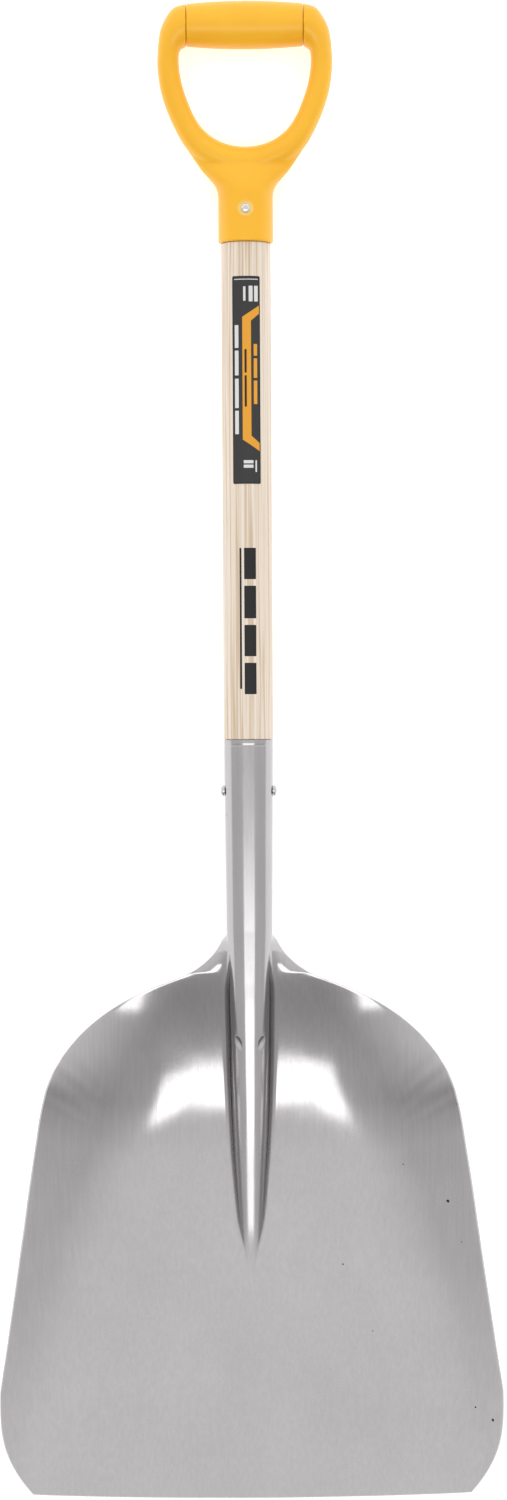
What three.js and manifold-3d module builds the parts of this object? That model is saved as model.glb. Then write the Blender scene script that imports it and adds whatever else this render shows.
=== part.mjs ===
// Grain scoop shovel: a pressed sheet scoop with its own rolled socket, a wooden shaft
// and a moulded D-grip. Millimetres. Every piece is shaped with +Z up the shaft and the
// hollow of the scoop towards -Y; the last lines lay the whole shovel down on its back.
import * as THREE from 'three';
import Module from 'manifold-3d';

const wasm = await Module();
wasm.setup();

// ---------------------------------------------------------------- driving sizes
const DEG = Math.PI / 180;
const GAP = 0.3;                   // clearance between pieces that touch

// Shaft
const SHAFT_RADIUS = 19.05;
const SHAFT_EXPOSED = 382;         // bare wood between the socket's rim and the grip
const SHAFT_CHAMFER = 1.2;
const SOCKET_TENON_TIP = 26;       // how far the tenon runs below the top of the bend
const TIP_RADIUS = 9.5;            // radius of the tenon's lower end
const TIP_TAPER = 95;              // length of the tapered end
const RIM_CHAMFER = 0.4;           // broken edge of the bare wood at both ends
const GRIP_SHOULDER = 2.25;        // step from the bare wood down to the grip's tenon
const GRIP_TENON_LENGTH = 40;

// Scoop: one sheet. A spine runs up the middle of the pan, bends upright and becomes
// the axis of the socket. Distances along it are counted from the lip.
const SHEET = 2.0;
const LIFT = 24 * DEG;             // the pan's floor leans this far from the shaft
const PAN_STRAIGHT = 238;          // flat run of the floor
const BEND_RADIUS = 350;
const FLOOR_DROP = 34;             // the floor lies this far behind the spine
const HEEL_START = 265;            // from here the heel curves forward into a back wall
const HEEL_SLOPE = 0.4;
const HEEL_CURVE = 45;             // length over which the heel takes up its slope
const HEEL_END = 400;
const HEEL_SOFTNESS = 7;
const LIP_HALF = 163.5;            // half widths of the outline
const PAN_HALF = 188.3;
const HEEL_HALF = 161;
const SHOULDER_HALF = 63;
const NECK_HALF = 18.3;
const PAN_WIDEST = 77;             // where along the spine those half widths fall
const HEEL_AT = 270;
const SHOULDER_AT = 390;
const NECK_AT = 433;
const SIDE_SLOPE = 8 * DEG;        // the side's slope where the shoulder's curve starts
const SHOULDER_SLOPE = 71 * DEG;
const SHOULDER_HANDLE = 67;        // how full the shoulder's curve is
const NECK_HANDLE = 30;
const NECK_LEAD = 18;              // the outline runs nearly straight this far into the neck
const NECK_FLARE = 2.5;
const LIP_CROWN = 3.2;             // the lip is bowed this much
const CROWN_FADE = 60;
const CREASE_LIP = 168;            // where the walls turn up from the floor
const CREASE_MIDDLE = 134;
const CREASE_NECK = 38;
const CREASE_LENGTH = 400;
const WALL_AT_LIP = 19 * DEG;
const WALL_AT_HEEL = 40 * DEG;
const WALL_LENGTH = 270;
const WALL_FADE_FROM = 300;        // between these the walls level out into the shoulders
const WALL_FADE_TO = 420;
const WALL_BEND = 95;
const SIDE_OF_RIDGE = 84 * DEG;
const RIDGE_TIP_RADIUS = 7;
const RIDGE_TIP_AT = 168;
const RIDGE_TOE_SLOPE = 0.07;      // the ridge's last stretch lies low over the floor
const RIDGE_FULL_AT = 430;
const RIDGE_FADE = 6;              // height over which the crest line eases into the toe
const FOOT_AT_TIP = 3.5;           // fillet at the ridge's foot
const FOOT_AT_NECK = 9;
const OPEN_FROM = 392;             // the sheet rolls shut into the socket along here
const OPEN_TO = 460;
const CUT_BY_WIDTH_TO = 422;
const SOCKET_LENGTH = 192;         // socket above the top of the bend
const SOCKET_STEP = 0.15;          // the rim is this much smaller than the wood
const SOCKET_TAPER = 1.3;          // radius lost between the rim and the neck
const SEAM_GAP = 4;                // open seam down the back of the socket
const HALF_COLUMNS = 20;
const LONG_CELL = 22;
const TURN_CELL = 16 * DEG;
const STATION_ZONES = [[0, 20, 3], [20, 77, 3], [77, 170, 4], [170, 320, 12],
  [320, 400, 16], [400, 460, 9], [460, 0, 5]];

// D-grip
const FERRULE_WALL = 4;
const FERRULE_LENGTH = 37;
const FERRULE_EDGE = 0.8;          // broken edge of the ferrule's rim
const GRIP_HALF = 67.2;            // half the grip's outer width
const OPENING_HALF = 50.8;         // half the hand opening's width
const OPENING_BASE = 74.5;         // heights are above the ferrule's rim
const OPENING_HEIGHT = 77.4;
const BAR_RADIUS = 18.5;
const BAR_END_RADIUS = 16.3;
const BAR_HALF = 45;
const CORE_RADIUS = 8;             // rod inside the hand bar
const CORE_END = 2;                // how far the rod runs into each arm
const ARM_DEPTH = 10.5;
const CORNER_DEPTH = 16.3;
const WEB_DEPTH = 13;
const WEB_HEIGHT = 24.5;

// Fasteners
const SHANK_RADIUS = 2.1;
const SCREW_LENGTH = 15;
const SCREW_POINT = 5;
const RECESS_REACH = 0.58;         // the cross recess, as shares of the head
const RECESS_BLADE = 0.24;
const RECESS_DEPTH = 0.55;
const HEAD_SKIRT = 0.35;           // share of the head's height that is straight
const SOCKET_HEAD_RADIUS = 4.1;
const SOCKET_HEAD_HEIGHT = 2.7;
const SOCKET_SCREW_DROP = 39;      // below the socket's rim
const GRIP_HEAD_RADIUS = 3.35;
const GRIP_HEAD_HEIGHT = 1.9;
const GRIP_SCREW_RISE = 24.7;      // above the ferrule's rim
const DISH_RADIUS = 6;
const DISH_DEPTH = 0.7;

// Label
const LABEL_WIDTH = 22.5;
const LABEL_LENGTH = 159;
const LABEL_DROP = 27;             // from the ferrule's rim to the label's top edge
const LABEL_THICKNESS = 0.4;
const CUT_MARGIN = 5;              // a cutter runs this far past what it cuts

// ---------------------------------------------------------------- worked-out places
const BEND_LENGTH = BEND_RADIUS * LIFT;
const UPRIGHT_AT = PAN_STRAIGHT + BEND_LENGTH;
const BEND_TOP = PAN_STRAIGHT * Math.cos(LIFT) + BEND_RADIUS * Math.sin(LIFT);
const RIM_AT = UPRIGHT_AT + SOCKET_LENGTH;
const RIM_Z = BEND_TOP + SOCKET_LENGTH;
const RIM_RADIUS = SHAFT_RADIUS - SOCKET_STEP;
const NECK_RADIUS = RIM_RADIUS - SOCKET_TAPER;
const GRIP_TENON_RADIUS = SHAFT_RADIUS - GRIP_SHOULDER;
const FERRULE_RADIUS = GRIP_TENON_RADIUS + GAP + FERRULE_WALL;
const GRIP_Z = RIM_Z + SHAFT_EXPOSED;
const BAR_Z = OPENING_BASE + OPENING_HEIGHT + BAR_END_RADIUS;

// ---------------------------------------------------------------- small tools
const mix = THREE.MathUtils.lerp;
const ease = (value, from, to) => THREE.MathUtils.smoothstep(value, from, to);
const ramp = (value, from, to) => THREE.MathUtils.clamp((value - from) / (to - from), 0, 1);

function root(low, high, isPast) {
  for (let step = 0; step < 48; step += 1) {
    const middle = (low + high) / 2;
    if (isPast(middle)) high = middle;
    else low = middle;
  }
  return (low + high) / 2;
}

// Joins rings of points into a closed skin. A ring's two halves run out and back, so each
// end is closed by zipping one half to the other.
function loft(rings) {
  const size = rings[0].length;
  const positions = rings.flat().flatMap((point) => [point.x, point.y, point.z]);
  const index = [];
  const quad = (a, b, c, d) => index.push(a, b, c, a, c, d);
  for (let row = 0; row < rings.length - 1; row += 1) {
    for (let k = 0; k < size; k += 1) {
      const next = (k + 1) % size;
      quad(row * size + k, row * size + next, (row + 1) * size + next, (row + 1) * size + k);
    }
  }
  const last = (rings.length - 1) * size;
  for (let k = 0; k < size / 2 - 1; k += 1) {
    const mirror = size - 1 - k;
    quad(mirror, mirror - 1, k + 1, k);
    quad(last + k, last + k + 1, last + mirror - 1, last + mirror);
  }
  const geometry = new THREE.BufferGeometry();
  geometry.setAttribute('position', new THREE.Float32BufferAttribute(positions, 3));
  geometry.setIndex(index);
  return geometry;
}

function toSolid(geometry) {
  const position = geometry.getAttribute('position');
  const keys = new Map();
  const vertices = [];
  const remap = [];
  for (let i = 0; i < position.count; i += 1) {
    const point = [position.getX(i), position.getY(i), position.getZ(i)];
    const key = point.map((value) => Math.round(value * 1e4)).join();
    if (!keys.has(key)) {
      keys.set(key, vertices.length / 3);
      vertices.push(...point);
    }
    remap.push(keys.get(key));
  }
  const listed = geometry.getIndex();
  const source = listed ? Array.from(listed.array) : remap.map((v, i) => i);
  const triangles = [];
  for (let i = 0; i < source.length; i += 3) {
    const [a, b, c] = [remap[source[i]], remap[source[i + 1]], remap[source[i + 2]]];
    if (a !== b && b !== c && c !== a) triangles.push(a, b, c);
  }
  return new wasm.Manifold(new wasm.Mesh({
    numProp: 3,
    vertProperties: new Float32Array(vertices),
    triVerts: new Uint32Array(triangles),
  }));
}

function toGeometry(solid) {
  const mesh = solid.getMesh();
  const geometry = new THREE.BufferGeometry();
  geometry.setAttribute('position', new THREE.BufferAttribute(mesh.vertProperties, 3));
  geometry.setIndex(new THREE.BufferAttribute(mesh.triVerts, 1));
  return geometry;
}

// A turned piece about Z from a list of [radius, height]; it starts and ends on the axis.
function turned(profile, segments) {
  return new THREE.LatheGeometry(profile.map(([r, z]) => new THREE.Vector2(r, z)), segments)
    .rotateX(Math.PI / 2);
}

function rod(radius, length, segments) {
  return turned([[0, 0], [radius, 0], [radius, length], [0, length]], segments);
}

function named(name, geometry, finish) {
  geometry.computeVertexNormals();
  const mesh = new THREE.Mesh(geometry, new THREE.MeshStandardMaterial(finish));
  mesh.name = name;
  return mesh;
}

// ---------------------------------------------------------------- scoop
// The outline of the sheet, as half width against distance along the spine.
const shoulderStart = new THREE.Vector2(HEEL_AT, HEEL_HALF);
const shoulderEnd = new THREE.Vector2(SHOULDER_AT, SHOULDER_HALF);
const along = (slope, length) => new THREE.Vector2(Math.cos(slope), -Math.sin(slope))
  .multiplyScalar(length);
const OUTLINE = [
  new THREE.CubicBezierCurve(
    new THREE.Vector2(0, LIP_HALF),
    new THREE.Vector2(PAN_WIDEST / 3, PAN_HALF),
    new THREE.Vector2(PAN_WIDEST * 2 / 3, PAN_HALF),
    new THREE.Vector2(PAN_WIDEST, PAN_HALF),
  ),
  new THREE.LineCurve(new THREE.Vector2(PAN_WIDEST, PAN_HALF), shoulderStart),
  new THREE.CubicBezierCurve(
    shoulderStart,
    shoulderStart.clone().add(along(SIDE_SLOPE, SHOULDER_HANDLE)),
    shoulderEnd.clone().sub(along(SHOULDER_SLOPE, SHOULDER_HANDLE)),
    shoulderEnd,
  ),
  new THREE.CubicBezierCurve(
    shoulderEnd,
    shoulderEnd.clone().add(along(SHOULDER_SLOPE, NECK_HANDLE)),
    new THREE.Vector2(NECK_AT - NECK_LEAD, NECK_HALF + NECK_FLARE),
    new THREE.Vector2(NECK_AT, NECK_HALF),
  ),
];

function outlineHalf(s) {
  const curve = OUTLINE.find((piece) => s <= piece.getPoint(1).x) ?? OUTLINE[OUTLINE.length - 1];
  return curve.getPoint(root(0, 1, (t) => curve.getPoint(t).x > s)).y;
}

// Where the spine is, and its lean, at a distance s from the lip.
function spine(s) {
  if (s >= UPRIGHT_AT) return { y: 0, z: BEND_TOP + s - UPRIGHT_AT, lean: 0 };
  const lean = Math.min(LIFT, (UPRIGHT_AT - s) / BEND_RADIUS);
  const run = Math.max(0, PAN_STRAIGHT - s);
  return {
    y: -BEND_RADIUS * (1 - Math.cos(lean)) - run * Math.sin(lean),
    z: BEND_TOP - BEND_RADIUS * Math.sin(lean) - run * Math.cos(lean),
    lean,
  };
}

function tubeRadius(s) {
  const socket = mix(NECK_RADIUS, RIM_RADIUS, ramp(s, RIDGE_FULL_AT, RIM_AT));
  return s > RIDGE_FULL_AT ? socket
    : mix(RIDGE_TIP_RADIUS, NECK_RADIUS, ramp(s, RIDGE_TIP_AT, RIDGE_FULL_AT));
}

// The ridge's crest stays on the straight front line of the socket until it meets the floor.
function crestHeight(s) {
  const { y, lean } = spine(s);
  const front = s > RIDGE_FULL_AT ? tubeRadius(s) : NECK_RADIUS;
  return (front + y) / Math.cos(lean);
}

function floorHeight(s) {
  const past = Math.log1p(Math.exp((HEEL_END - s) / HEEL_SOFTNESS)) * HEEL_SOFTNESS;
  const run = Math.max(0, HEEL_END - past - HEEL_START);
  return HEEL_SLOPE * (run + HEEL_CURVE * Math.expm1(-run / HEEL_CURVE)) - FLOOR_DROP;
}

function ridgeHeight(s) {
  const toe = Math.min(RIDGE_FADE, RIDGE_TOE_SLOPE * Math.max(0, s - RIDGE_TIP_AT));
  const above = crestHeight(s) - floorHeight(s) - toe;
  if (above >= RIDGE_FADE) return toe + above;
  return toe + Math.max(0, above + RIDGE_FADE) ** 2 / (4 * RIDGE_FADE);
}

// Half of a cross-section, from the crest outwards, as straight and round stretches.
// A stretch has a length and a turn; headings turn from +X towards the back.
function stretches(s) {
  const open = ease(s, OPEN_FROM, OPEN_TO);
  const shut = Math.PI - SEAM_GAP / 2 / NECK_RADIUS;
  const wall = mix(WALL_AT_LIP, WALL_AT_HEEL, ease(s, 0, WALL_LENGTH))
    * (1 - ease(s, WALL_FADE_FROM, WALL_FADE_TO));
  const end = mix(-wall, shut, open);
  const radius = tubeRadius(s);
  const foot = mix(FOOT_AT_TIP, FOOT_AT_NECK, ramp(s, RIDGE_TIP_AT, SHOULDER_AT));
  const height = ridgeHeight(s);
  const full = Math.acos(Math.max(-1, 1 - height / (radius + foot)));
  const side = Math.max(Math.min(full, SIDE_OF_RIDGE), end);
  const drop = (radius + foot) * (1 - Math.cos(Math.min(full, SIDE_OF_RIDGE)));
  const straight = Math.max(0, height - drop) / Math.sin(SIDE_OF_RIDGE) * (1 - open);
  const list = [
    { length: radius * side, turn: side },
    { length: straight, turn: 0 },
    { length: foot * (side - Math.max(0, end)), turn: Math.max(0, end) - side },
  ];
  if (end < 0) {
    const reach = (radius + foot) * Math.sin(side) + straight * Math.cos(side);
    const crease = new THREE.QuadraticBezierCurve(
      new THREE.Vector2(0, CREASE_LIP),
      new THREE.Vector2(CREASE_LENGTH / 2, CREASE_MIDDLE),
      new THREE.Vector2(CREASE_LENGTH, CREASE_NECK),
    ).getPoint(Math.min(1, s / CREASE_LENGTH)).y;
    const bend = Math.min(WALL_BEND, Math.max(0, crease - reach) / Math.tan(-end / 2));
    list.push({ length: Math.max(0, crease - reach - bend * Math.tan(-end / 2)), turn: 0 });
    list.push({ length: bend * -end, turn: end });
  }
  list.push({ length: PAN_HALF * 2, turn: 0 });
  return list;
}

// Follows the stretches to a given length; returns the place and heading there.
function follow(list, length) {
  let [x, n, heading, left] = [0, 0, 0, length];
  for (const stretch of list) {
    const share = stretch.length > 0 ? Math.min(1, left / stretch.length) : 0;
    const step = stretch.length * share;
    const turn = stretch.turn * share;
    const chord = Math.abs(turn) > 1e-9 ? 2 * step / turn * Math.sin(turn / 2) : step;
    x += chord * Math.cos(heading + turn / 2);
    n -= chord * Math.sin(heading + turn / 2);
    heading += turn;
    left -= step;
    if (left <= 1e-9) break;
  }
  return { x, n, heading };
}

const cutByWidth = (s, list) => root(0, PAN_HALF * 2, (t) => follow(list, t).x > outlineHalf(s));

function halfGirth(s, list) {
  if (s <= CUT_BY_WIDTH_TO) return cutByWidth(s, list);
  const start = cutByWidth(CUT_BY_WIDTH_TO, stretches(CUT_BY_WIDTH_TO));
  const shut = Math.PI * tubeRadius(s) - SEAM_GAP / 2;
  return mix(start, shut, ease(s, CUT_BY_WIDTH_TO, OPEN_TO));
}

// A section trimmed to the sheet's edge, with points spread by length and by turn.
const sections = new Map();
function section(s) {
  if (sections.has(s)) return sections.get(s);
  const list = stretches(s);
  let left = halfGirth(s, list);
  const trimmed = [];
  for (const stretch of list) {
    const length = Math.min(left, stretch.length);
    const turn = stretch.length > 0 ? stretch.turn * length / stretch.length : 0;
    trimmed.push({ length, turn, weight: length / LONG_CELL + Math.abs(turn) / TURN_CELL });
    left -= length;
  }
  const total = trimmed.reduce((sum, stretch) => sum + stretch.weight, 0);
  const result = { trimmed, total };
  sections.set(s, result);
  return result;
}

// A point of the bowl side: u runs from 0 at the crest to 1 at the edge.
function bowlPoint(u, s) {
  const { trimmed, total } = section(s);
  let weight = Math.abs(u) * total;
  let length = 0;
  for (const stretch of trimmed) {
    const share = stretch.weight > 0 ? Math.min(1, weight / stretch.weight) : 0;
    length += stretch.length * share;
    weight -= stretch.weight * share;
  }
  const { x, n } = follow(trimmed, length);
  const crown = LIP_CROWN * (x / LIP_HALF) ** 2 * (1 - ease(s, 0, CROWN_FADE));
  const { y, z, lean } = spine(s + crown);
  const height = floorHeight(s) + ridgeHeight(s) + n;
  return new THREE.Vector3(
    Math.sign(u) * x,
    y - height * Math.cos(lean),
    z + height * Math.sin(lean),
  );
}

// The normal towards the bowl side; at the very edge it is taken just inside.
function bowlNormal(u, s) {
  const du = 0.004;
  const ds = 0.2;
  const inside = THREE.MathUtils.clamp(u, du - 1, 1 - du);
  const across = bowlPoint(inside + du, s).sub(bowlPoint(inside - du, s));
  const upward = bowlPoint(u, s + ds).sub(bowlPoint(u, Math.max(0, s - ds)));
  return across.cross(upward).normalize();
}

function stationList() {
  const list = [0];
  for (const [from, to, count] of STATION_ZONES) {
    const end = to || RIM_AT;
    for (let k = 1; k <= count; k += 1) list.push(mix(from, end, k / count));
  }
  return list;
}

function scoopSheet() {
  const rings = stationList().map((s) => {
    const front = [];
    const back = [];
    for (let k = -HALF_COLUMNS; k <= HALF_COLUMNS; k += 1) {
      const u = k / HALF_COLUMNS;
      const point = bowlPoint(u, s);
      front.push(point);
      back.unshift(point.clone().addScaledVector(bowlNormal(u, s), -SHEET));
    }
    return [...front, ...back];
  });
  return toSolid(loft(rings));
}

// ---------------------------------------------------------------- holes for the screws
// A screw's frame: Z runs out of its head, and the origin is under the head.
const screwPlaces = {
  socket_screw_left: { x: -socketRadiusAt(SOCKET_SCREW_DROP), y: 0, z: RIM_Z - SOCKET_SCREW_DROP },
  socket_screw_right: { x: socketRadiusAt(SOCKET_SCREW_DROP), y: 0, z: RIM_Z - SOCKET_SCREW_DROP },
  grip_screw: { x: 0, y: -(FERRULE_RADIUS - DISH_DEPTH), z: GRIP_Z + GRIP_SCREW_RISE },
};

function socketRadiusAt(drop) {
  return tubeRadius(RIM_AT - drop);
}

function place(geometry, { x, y, z }) {
  const out = new THREE.Vector3(x, y, 0).normalize();
  const turn = new THREE.Quaternion().setFromUnitVectors(new THREE.Vector3(0, 0, 1), out);
  return geometry.applyQuaternion(turn).translate(x, y, z);
}

function screwHoles() {
  const drill = rod(SHANK_RADIUS + GAP, SCREW_LENGTH + CUT_MARGIN, 16)
    .translate(0, 0, -SCREW_LENGTH - 2 * GAP);
  return Object.values(screwPlaces)
    .map((where) => toSolid(place(drill.clone(), where)))
    .reduce((all, hole) => all.add(hole));
}

function screw(headRadius, headHeight) {
  const rows = 5;
  const dome = [];
  for (let k = 0; k < rows; k += 1) {
    const angle = k / rows * Math.PI / 2;
    const rise = mix(HEAD_SKIRT, 1, Math.sin(angle));
    dome.push([headRadius * Math.cos(angle), GAP + headHeight * rise]);
  }
  const body = toSolid(turned([
    [0, -SCREW_LENGTH], [SHANK_RADIUS, SCREW_POINT - SCREW_LENGTH], [SHANK_RADIUS, GAP],
    [headRadius, GAP], ...dome, [0, GAP + headHeight],
  ], 24));
  const depth = headHeight * RECESS_DEPTH;
  const blade = headRadius * RECESS_BLADE;
  const arm = new THREE.BoxGeometry(headRadius * RECESS_REACH * 2, blade, depth * 2)
    .translate(0, 0, GAP + headHeight);
  const cross = toSolid(arm).add(toSolid(arm.clone().rotateZ(Math.PI / 2)));
  return body.subtract(cross);
}

// ---------------------------------------------------------------- shaft
function shaft() {
  const bore = (s) => tubeRadius(s) - SHEET - GAP;
  const tip = BEND_TOP - SOCKET_TENON_TIP;
  const neck = tip + TIP_TAPER;
  const top = GRIP_Z + GRIP_TENON_LENGTH;
  const profile = [
    [0, tip], [TIP_RADIUS - SHAFT_CHAMFER, tip], [TIP_RADIUS, tip + SHAFT_CHAMFER],
    [bore(RIDGE_FULL_AT), neck], [bore(RIM_AT), RIM_Z + GAP],
    [SHAFT_RADIUS - RIM_CHAMFER, RIM_Z + GAP], [SHAFT_RADIUS, RIM_Z + GAP + RIM_CHAMFER],
    [SHAFT_RADIUS, GRIP_Z - GAP - RIM_CHAMFER], [SHAFT_RADIUS - RIM_CHAMFER, GRIP_Z - GAP],
    [GRIP_TENON_RADIUS, GRIP_Z - GAP],
    [GRIP_TENON_RADIUS, top - SHAFT_CHAMFER], [GRIP_TENON_RADIUS - SHAFT_CHAMFER, top], [0, top],
  ];
  return toSolid(turned(profile, 48));
}

// ---------------------------------------------------------------- D-grip
// Ribs of the D from the right end of the bar round to the web, each as the inner point's
// half width and height, the outer point's, and half the depth. rib() takes half widths as
// shares of the opening's and the grip's, and heights as shares of the opening's.
const OPENING_TOP = OPENING_BASE + OPENING_HEIGHT;
const ribHeight = (share) => OPENING_BASE + OPENING_HEIGHT * share;
const rib = (inner, innerRise, outer, outerRise, depth) => [
  inner * OPENING_HALF, ribHeight(innerRise), outer * GRIP_HALF, ribHeight(outerRise), depth,
];
const RIBS = [
  [BAR_HALF, OPENING_TOP, BAR_HALF, BAR_Z + BAR_END_RADIUS, CORNER_DEPTH],
  rib(0.975, 0.965, 0.83, 1.37, 15),
  rib(1, 0.9, 0.96, 1.18, 12.5),
  rib(0.996, 0.8, 1, 0.92, 11),
  rib(0.976, 0.7, 0.995, 0.72, ARM_DEPTH),
  rib(0.917, 0.545, 0.945, 0.485, ARM_DEPTH),
  rib(0.774, 0.31, 0.826, 0.215, 11),
  rib(0.598, 0.15, 0.66, -0.03, 12),
  rib(0.335, 0.04, 0.417, -0.2, WEB_DEPTH),
  [0, OPENING_BASE, 0, OPENING_BASE - WEB_HEIGHT, WEB_DEPTH],
];

function smoothRibs() {
  const mirrored = RIBS.slice(0, -1).reverse().map(([a, b, c, d, e]) => [-a, b, -c, d, e]);
  const all = [...RIBS, ...mirrored];
  const track = (wide, high) => new THREE.CatmullRomCurve3(
    all.map((one) => new THREE.Vector3(one[wide], one[high], one[4])), false, 'catmullrom', 0.5);
  const inner = track(0, 1);
  const outer = track(2, 3);
  const steps = (all.length - 1) * 2;
  return Array.from({ length: steps + 1 }, (v, k) => (
    [inner.getPoint(k / steps), outer.getPoint(k / steps)]
  ));
}

function dLoop() {
  const sides = 20;
  const rings = smoothRibs().map(([inner, outer]) => {
    const centre = inner.clone().add(outer).multiplyScalar(0.5);
    const reach = outer.clone().sub(inner).multiplyScalar(0.5);
    return Array.from({ length: sides }, (v, k) => {
      const angle = (k + 0.5) / sides * 2 * Math.PI;
      return new THREE.Vector3(
        centre.x + reach.x * Math.cos(angle),
        -centre.z * Math.sin(angle),
        centre.y + reach.y * Math.cos(angle) + GRIP_Z,
      );
    });
  });
  return toSolid(loft(rings));
}

// The ferrule and the flare above it: rings of [height above the ferrule, half width,
// half depth], the last two as shares of the ferrule's radius.
const FLARE = [
  [-2, 1, 1], [3, 1.03, 0.99], [8, 1.14, 0.94], [13, 1.34, 0.84],
  [18, 1.55, 0.72], [24, 1.76, 0.58], [30, 1.95, 0.46], [35.5, 2.13, 0.38],
];

function hub() {
  const sides = 40;
  const rings = [
    [0, FERRULE_RADIUS - FERRULE_EDGE, FERRULE_RADIUS - FERRULE_EDGE],
    [FERRULE_EDGE, FERRULE_RADIUS, FERRULE_RADIUS],
    ...FLARE.map(([rise, wide, deep]) => (
      [FERRULE_LENGTH + rise, FERRULE_RADIUS * wide, FERRULE_RADIUS * deep]
    )),
  ];
  return toSolid(loft(rings.map(([rise, wide, deep]) => Array.from({ length: sides }, (v, k) => {
    const angle = (k + 0.5) / sides * 2 * Math.PI;
    return new THREE.Vector3(wide * Math.cos(angle), deep * Math.sin(angle), GRIP_Z + rise);
  }))));
}

function dGrip() {
  const reach = BAR_HALF + CORE_END;
  const core = rod(CORE_RADIUS, reach * 2, 24).translate(0, 0, -reach)
    .rotateY(Math.PI / 2).translate(0, 0, GRIP_Z + BAR_Z);
  const bore = rod(GRIP_TENON_RADIUS + GAP, GRIP_TENON_LENGTH + GAP + CUT_MARGIN, 48)
    .translate(0, 0, GRIP_Z - CUT_MARGIN);
  const dish = place(rod(DISH_RADIUS, CUT_MARGIN, 24), screwPlaces.grip_screw);
  return dLoop().add(hub()).add(toSolid(core)).subtract(toSolid(bore)).subtract(toSolid(dish));
}

function handBar() {
  const length = BAR_HALF - GAP;
  const profile = [[CORE_RADIUS + GAP, -length], [BAR_END_RADIUS, -length]];
  const rows = 8;
  for (let k = 1; k < rows; k += 1) {
    const share = k / rows * 2 - 1;
    profile.push([mix(BAR_RADIUS, BAR_END_RADIUS, share * share), share * length]);
  }
  profile.push([BAR_END_RADIUS, length], [CORE_RADIUS + GAP, length], profile[0]);
  return turned(profile, 36).rotateY(Math.PI / 2).translate(0, 0, GRIP_Z + BAR_Z);
}

// ---------------------------------------------------------------- label
function label() {
  const inner = SHAFT_RADIUS + GAP;
  const outer = inner + LABEL_THICKNESS;
  const half = LABEL_WIDTH / 2 / SHAFT_RADIUS;
  const shape = new THREE.Shape();
  shape.absarc(0, 0, outer, -Math.PI / 2 - half, -Math.PI / 2 + half, false);
  shape.absarc(0, 0, inner, -Math.PI / 2 + half, -Math.PI / 2 - half, true);
  const settings = { depth: LABEL_LENGTH, bevelEnabled: false, curveSegments: 12 };
  return new THREE.ExtrudeGeometry(shape, settings)
    .translate(0, 0, GRIP_Z - LABEL_DROP - LABEL_LENGTH);
}

// ---------------------------------------------------------------- the object
const SHEET_METAL = { color: 0xbfc0c3, roughness: 0.38, metalness: 1 };
const WOOD = { color: 0xe6d3b8, roughness: 0.55, metalness: 0 };
const PLASTIC = { color: 0xfbb42c, roughness: 0.42, metalness: 0 };
const FILM = { color: 0x1b1a19, roughness: 0.45, metalness: 0 };
const PLATED = { color: 0xc9c9c6, roughness: 0.25, metalness: 1 };
const ZINC = { color: 0xa9aaac, roughness: 0.3, metalness: 1 };

function screwIn(name, headRadius, headHeight, finish) {
  const geometry = toGeometry(screw(headRadius, headHeight));
  return named(name, place(geometry, screwPlaces[name]), finish);
}

const holes = screwHoles();
const shovel = new THREE.Group();
shovel.add(
  named('scoop', toGeometry(scoopSheet().subtract(holes)), SHEET_METAL),
  named('shaft', toGeometry(shaft().subtract(holes)), WOOD),
  named('d_grip', toGeometry(dGrip().subtract(holes)), PLASTIC),
  named('hand_bar', handBar(), PLASTIC),
  named('label', label(), FILM),
  screwIn('grip_screw', GRIP_HEAD_RADIUS, GRIP_HEAD_HEIGHT, PLATED),
  screwIn('socket_screw_left', SOCKET_HEAD_RADIUS, SOCKET_HEAD_HEIGHT, ZINC),
  screwIn('socket_screw_right', SOCKET_HEAD_RADIUS, SOCKET_HEAD_HEIGHT, ZINC),
);

// The shovel lies on its back, hollow side up, with the grip towards +Y and the origin on
// the ground under the middle of its box.
shovel.rotation.x = -Math.PI / 2;
const box = new THREE.Box3().setFromObject(shovel);
shovel.position.set(0, -(box.min.y + box.max.y) / 2, -box.min.z);

export default shovel;
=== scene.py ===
"""Grain scoop shovel: the finished look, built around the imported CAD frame.

Metres. Every piece is shaped like the CAD, with +Z up the shaft, the hollow towards -Y and
the shaft's axis at x = y = 0, and is then laid down on its back by one matrix, LAY.
"""
import math

import bmesh
import bpy
import numpy as np
from mathutils import Matrix, Vector, noise


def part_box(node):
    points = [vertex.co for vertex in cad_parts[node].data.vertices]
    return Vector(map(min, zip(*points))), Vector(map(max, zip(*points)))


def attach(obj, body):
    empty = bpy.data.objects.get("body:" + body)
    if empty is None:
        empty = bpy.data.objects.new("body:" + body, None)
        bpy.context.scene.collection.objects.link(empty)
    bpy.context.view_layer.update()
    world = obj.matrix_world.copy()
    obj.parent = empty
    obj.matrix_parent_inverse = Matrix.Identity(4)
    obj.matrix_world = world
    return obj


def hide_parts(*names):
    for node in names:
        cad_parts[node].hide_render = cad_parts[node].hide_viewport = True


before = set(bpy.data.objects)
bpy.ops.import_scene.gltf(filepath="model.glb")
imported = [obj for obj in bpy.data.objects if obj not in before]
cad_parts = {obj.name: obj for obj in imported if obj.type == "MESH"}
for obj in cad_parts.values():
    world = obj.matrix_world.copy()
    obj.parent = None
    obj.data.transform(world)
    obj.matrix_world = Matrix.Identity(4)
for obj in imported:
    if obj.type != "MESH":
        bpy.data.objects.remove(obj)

MM = 0.001
DEG = math.pi / 180
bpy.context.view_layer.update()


def half_size(node, axis):
    low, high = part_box(node)
    return (high[axis] - low[axis]) / 2


def middle(node, axis):
    low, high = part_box(node)
    return (high[axis] + low[axis]) / 2


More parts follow.
